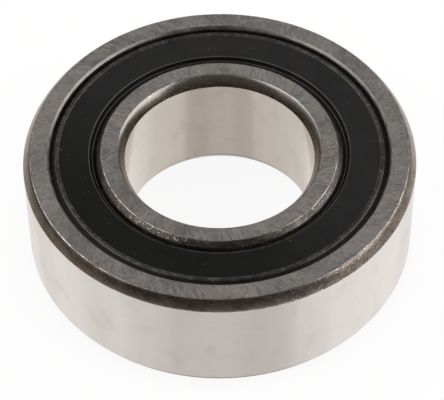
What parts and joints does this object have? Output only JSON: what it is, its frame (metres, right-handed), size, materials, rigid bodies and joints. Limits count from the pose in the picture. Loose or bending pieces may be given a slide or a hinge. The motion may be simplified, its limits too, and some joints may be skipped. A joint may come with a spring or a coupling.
{
  "type": "double row ball bearing",
  "caption": "Sealed self-aligning ball bearing with double row balls in a shared spherical outer raceway, a snap cage and rubber contact seals on both sides.",
  "frame": {"origin": "centre of the bearing: on its axis, midway between the two side faces", "axes": "+Z along the bore axis, out of the front side; X is the axis that the inner ring tilts about; the bearing lies flat on its rear side"},
  "size_m": [0.062, 0.062, 0.02],
  "materials": {
    "ring_steel": "ground, with unground dark corners",
    "ball_steel": "lapped and polished",
    "cage_polyamide": "moulded glass-fibre filled polyamide",
    "seal_rubber": "moulded, satin black",
    "insert_sheet": "pressed sheet"
  },
  "bodies": {
    "outer_ring": {"outer_ring": "ring_steel", "front_seal_insert": "insert_sheet", "rear_seal_insert": "insert_sheet"},
    "seal_rubbers": {"front_seal": "seal_rubber", "rear_seal": "seal_rubber"},
    "inner_ring": {"inner_ring": "ring_steel"},
    "cage": {"cage": "cage_polyamide"},
    "front_ball_01": {"front_ball_01": "ball_steel"},
    "front_ball_02": {"front_ball_02": "ball_steel"},
    "front_ball_03": {"front_ball_03": "ball_steel"},
    "front_ball_04": {"front_ball_04": "ball_steel"},
    "front_ball_05": {"front_ball_05": "ball_steel"},
    "front_ball_06": {"front_ball_06": "ball_steel"},
    "front_ball_07": {"front_ball_07": "ball_steel"},
    "front_ball_08": {"front_ball_08": "ball_steel"},
    "front_ball_09": {"front_ball_09": "ball_steel"},
    "front_ball_10": {"front_ball_10": "ball_steel"},
    "front_ball_11": {"front_ball_11": "ball_steel"},
    "front_ball_12": {"front_ball_12": "ball_steel"},
    "front_ball_13": {"front_ball_13": "ball_steel"},
    "front_ball_14": {"front_ball_14": "ball_steel"},
    "rear_ball_01": {"rear_ball_01": "ball_steel"},
    "rear_ball_02": {"rear_ball_02": "ball_steel"},
    "rear_ball_03": {"rear_ball_03": "ball_steel"},
    "rear_ball_04": {"rear_ball_04": "ball_steel"},
    "rear_ball_05": {"rear_ball_05": "ball_steel"},
    "rear_ball_06": {"rear_ball_06": "ball_steel"},
    "rear_ball_07": {"rear_ball_07": "ball_steel"},
    "rear_ball_08": {"rear_ball_08": "ball_steel"},
    "rear_ball_09": {"rear_ball_09": "ball_steel"},
    "rear_ball_10": {"rear_ball_10": "ball_steel"},
    "rear_ball_11": {"rear_ball_11": "ball_steel"},
    "rear_ball_12": {"rear_ball_12": "ball_steel"},
    "rear_ball_13": {"rear_ball_13": "ball_steel"},
    "rear_ball_14": {"rear_ball_14": "ball_steel"}
  },
  "joints": [
    {"name": "self_align", "type": "hinge", "parent": "outer_ring", "child": "seal_rubbers", "pos_m": [0, 0, 0], "axis": [1, 0, 0], "range_deg": [-1.5, 1.5], "deforming": ["front_seal", "rear_seal"]},
    {"name": "inner_ring_spin", "type": "hinge", "parent": "seal_rubbers", "child": "inner_ring", "pos_m": [0, 0, 0], "axis": [0, 0, 1], "continuous": true},
    {"name": "cage_spin", "type": "hinge", "parent": "seal_rubbers", "child": "cage", "pos_m": [0, 0, 0], "axis": [0, 0, 1], "continuous": true},
    {"name": "front_ball_01_roll", "type": "hinge", "parent": "cage", "child": "front_ball_01", "pos_m": [0.023, 0, 0.0037], "axis": [-0.1589, 0, 0.9873], "continuous": true},
    {"name": "front_ball_02_roll", "type": "hinge", "parent": "cage", "child": "front_ball_02", "pos_m": [0.02072, 0.00998, 0.0037], "axis": [-0.1431, -0.0689, 0.9873], "continuous": true},
    {"name": "front_ball_03_roll", "type": "hinge", "parent": "cage", "child": "front_ball_03", "pos_m": [0.01434, 0.01798, 0.0037], "axis": [-0.0991, -0.1242, 0.9873], "continuous": true},
    {"name": "front_ball_04_roll", "type": "hinge", "parent": "cage", "child": "front_ball_04", "pos_m": [0.00512, 0.02242, 0.0037], "axis": [-0.0354, -0.1549, 0.9873], "continuous": true},
    {"name": "front_ball_05_roll", "type": "hinge", "parent": "cage", "child": "front_ball_05", "pos_m": [-0.00512, 0.02242, 0.0037], "axis": [0.0354, -0.1549, 0.9873], "continuous": true},
    {"name": "front_ball_06_roll", "type": "hinge", "parent": "cage", "child": "front_ball_06", "pos_m": [-0.01434, 0.01798, 0.0037], "axis": [0.0991, -0.1242, 0.9873], "continuous": true},
    {"name": "front_ball_07_roll", "type": "hinge", "parent": "cage", "child": "front_ball_07", "pos_m": [-0.02072, 0.00998, 0.0037], "axis": [0.1431, -0.0689, 0.9873], "continuous": true},
    {"name": "front_ball_08_roll", "type": "hinge", "parent": "cage", "child": "front_ball_08", "pos_m": [-0.023, 0, 0.0037], "axis": [0.1589, 0, 0.9873], "continuous": true},
    {"name": "front_ball_09_roll", "type": "hinge", "parent": "cage", "child": "front_ball_09", "pos_m": [-0.02072, -0.00998, 0.0037], "axis": [0.1431, 0.0689, 0.9873], "continuous": true},
    {"name": "front_ball_10_roll", "type": "hinge", "parent": "cage", "child": "front_ball_10", "pos_m": [-0.01434, -0.01798, 0.0037], "axis": [0.0991, 0.1242, 0.9873], "continuous": true},
    {"name": "front_ball_11_roll", "type": "hinge", "parent": "cage", "child": "front_ball_11", "pos_m": [-0.00512, -0.02242, 0.0037], "axis": [0.0354, 0.1549, 0.9873], "continuous": true},
    {"name": "front_ball_12_roll", "type": "hinge", "parent": "cage", "child": "front_ball_12", "pos_m": [0.00512, -0.02242, 0.0037], "axis": [-0.0354, 0.1549, 0.9873], "continuous": true},
    {"name": "front_ball_13_roll", "type": "hinge", "parent": "cage", "child": "front_ball_13", "pos_m": [0.01434, -0.01798, 0.0037], "axis": [-0.0991, 0.1242, 0.9873], "continuous": true},
    {"name": "front_ball_14_roll", "type": "hinge", "parent": "cage", "child": "front_ball_14", "pos_m": [0.02072, -0.00998, 0.0037], "axis": [-0.1431, 0.0689, 0.9873], "continuous": true},
    {"name": "rear_ball_01_roll", "type": "hinge", "parent": "cage", "child": "rear_ball_01", "pos_m": [0.02242, 0.00512, -0.0037], "axis": [0.1549, 0.0354, 0.9873], "continuous": true},
    {"name": "rear_ball_02_roll", "type": "hinge", "parent": "cage", "child": "rear_ball_02", "pos_m": [0.01798, 0.01434, -0.0037], "axis": [0.1242, 0.0991, 0.9873], "continuous": true},
    {"name": "rear_ball_03_roll", "type": "hinge", "parent": "cage", "child": "rear_ball_03", "pos_m": [0.00998, 0.02072, -0.0037], "axis": [0.0689, 0.1431, 0.9873], "continuous": true},
    {"name": "rear_ball_04_roll", "type": "hinge", "parent": "cage", "child": "rear_ball_04", "pos_m": [0, 0.023, -0.0037], "axis": [0, 0.1589, 0.9873], "continuous": true},
    {"name": "rear_ball_05_roll", "type": "hinge", "parent": "cage", "child": "rear_ball_05", "pos_m": [-0.00998, 0.02072, -0.0037], "axis": [-0.0689, 0.1431, 0.9873], "continuous": true},
    {"name": "rear_ball_06_roll", "type": "hinge", "parent": "cage", "child": "rear_ball_06", "pos_m": [-0.01798, 0.01434, -0.0037], "axis": [-0.1242, 0.0991, 0.9873], "continuous": true},
    {"name": "rear_ball_07_roll", "type": "hinge", "parent": "cage", "child": "rear_ball_07", "pos_m": [-0.02242, 0.00512, -0.0037], "axis": [-0.1549, 0.0354, 0.9873], "continuous": true},
    {"name": "rear_ball_08_roll", "type": "hinge", "parent": "cage", "child": "rear_ball_08", "pos_m": [-0.02242, -0.00512, -0.0037], "axis": [-0.1549, -0.0354, 0.9873], "continuous": true},
    {"name": "rear_ball_09_roll", "type": "hinge", "parent": "cage", "child": "rear_ball_09", "pos_m": [-0.01798, -0.01434, -0.0037], "axis": [-0.1242, -0.0991, 0.9873], "continuous": true},
    {"name": "rear_ball_10_roll", "type": "hinge", "parent": "cage", "child": "rear_ball_10", "pos_m": [-0.00998, -0.02072, -0.0037], "axis": [-0.0689, -0.1431, 0.9873], "continuous": true},
    {"name": "rear_ball_11_roll", "type": "hinge", "parent": "cage", "child": "rear_ball_11", "pos_m": [0, -0.023, -0.0037], "axis": [0, -0.1589, 0.9873], "continuous": true},
    {"name": "rear_ball_12_roll", "type": "hinge", "parent": "cage", "child": "rear_ball_12", "pos_m": [0.00998, -0.02072, -0.0037], "axis": [0.0689, -0.1431, 0.9873], "continuous": true},
    {"name": "rear_ball_13_roll", "type": "hinge", "parent": "cage", "child": "rear_ball_13", "pos_m": [0.01798, -0.01434, -0.0037], "axis": [0.1242, -0.0991, 0.9873], "continuous": true},
    {"name": "rear_ball_14_roll", "type": "hinge", "parent": "cage", "child": "rear_ball_14", "pos_m": [0.02242, -0.00512, -0.0037], "axis": [0.1549, -0.0354, 0.9873], "continuous": true}
  ],
  "couplings": [
    {"joint": "cage_spin", "follows": "inner_ring_spin", "ratio": 0.41481},
    {"joint": "front_ball_01_roll", "follows": "inner_ring_spin", "ratio": -2.8134},
    {"joint": "front_ball_02_roll", "follows": "inner_ring_spin", "ratio": -2.8134},
    {"joint": "front_ball_03_roll", "follows": "inner_ring_spin", "ratio": -2.8134},
    {"joint": "front_ball_04_roll", "follows": "inner_ring_spin", "ratio": -2.8134},
    {"joint": "front_ball_05_roll", "follows": "inner_ring_spin", "ratio": -2.8134},
    {"joint": "front_ball_06_roll", "follows": "inner_ring_spin", "ratio": -2.8134},
    {"joint": "front_ball_07_roll", "follows": "inner_ring_spin", "ratio": -2.8134},
    {"joint": "front_ball_08_roll", "follows": "inner_ring_spin", "ratio": -2.8134},
    {"joint": "front_ball_09_roll", "follows": "inner_ring_spin", "ratio": -2.8134},
    {"joint": "front_ball_10_roll", "follows": "inner_ring_spin", "ratio": -2.8134},
    {"joint": "front_ball_11_roll", "follows": "inner_ring_spin", "ratio": -2.8134},
    {"joint": "front_ball_12_roll", "follows": "inner_ring_spin", "ratio": -2.8134},
    {"joint": "front_ball_13_roll", "follows": "inner_ring_spin", "ratio": -2.8134},
    {"joint": "front_ball_14_roll", "follows": "inner_ring_spin", "ratio": -2.8134},
    {"joint": "rear_ball_01_roll", "follows": "inner_ring_spin", "ratio": -2.8134},
    {"joint": "rear_ball_02_roll", "follows": "inner_ring_spin", "ratio": -2.8134},
    {"joint": "rear_ball_03_roll", "follows": "inner_ring_spin", "ratio": -2.8134},
    {"joint": "rear_ball_04_roll", "follows": "inner_ring_spin", "ratio": -2.8134},
    {"joint": "rear_ball_05_roll", "follows": "inner_ring_spin", "ratio": -2.8134},
    {"joint": "rear_ball_06_roll", "follows": "inner_ring_spin", "ratio": -2.8134},
    {"joint": "rear_ball_07_roll", "follows": "inner_ring_spin", "ratio": -2.8134},
    {"joint": "rear_ball_08_roll", "follows": "inner_ring_spin", "ratio": -2.8134},
    {"joint": "rear_ball_09_roll", "follows": "inner_ring_spin", "ratio": -2.8134},
    {"joint": "rear_ball_10_roll", "follows": "inner_ring_spin", "ratio": -2.8134},
    {"joint": "rear_ball_11_roll", "follows": "inner_ring_spin", "ratio": -2.8134},
    {"joint": "rear_ball_12_roll", "follows": "inner_ring_spin", "ratio": -2.8134},
    {"joint": "rear_ball_13_roll", "follows": "inner_ring_spin", "ratio": -2.8134},
    {"joint": "rear_ball_14_roll", "follows": "inner_ring_spin", "ratio": -2.8134}
  ]
}
